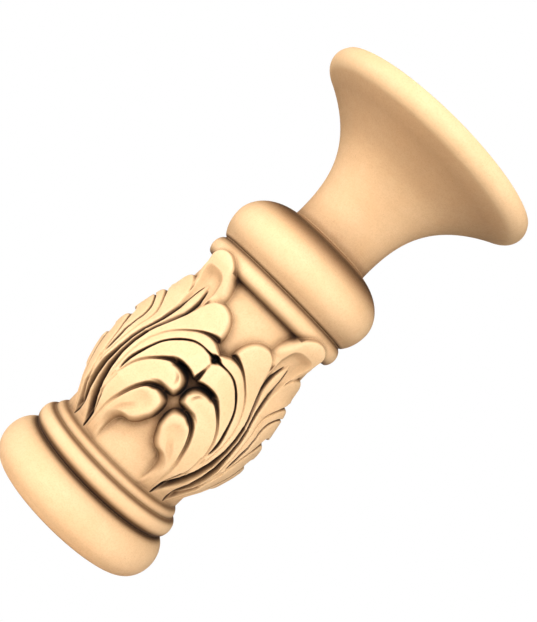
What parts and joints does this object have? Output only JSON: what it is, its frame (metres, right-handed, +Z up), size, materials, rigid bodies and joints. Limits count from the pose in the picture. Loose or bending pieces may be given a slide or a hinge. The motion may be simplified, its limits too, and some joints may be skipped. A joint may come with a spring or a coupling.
{
  "type": "stone baluster",
  "caption": "Turned and carved cream stone baluster: torus base, barrel drum wrapped in acanthus leaves, cushion moulding and a plain neck flaring to a round bearing top.",
  "frame": {"origin": "centre of the flat lower bed, at the bottom of the base torus", "axes": "+Z up along the turning axis; the middle of the open panel between two leaves faces -Y, and the leaf ribs stand at 45 degrees to X and Y"},
  "size_m": [0.2979, 0.2978, 0.6],
  "materials": {
    "stone": "honed cream limestone, fine grained, with darker dust in the deep cuts"
  },
  "bodies": {
    "root": {"baluster": "stone"}
  },
  "joints": []
}
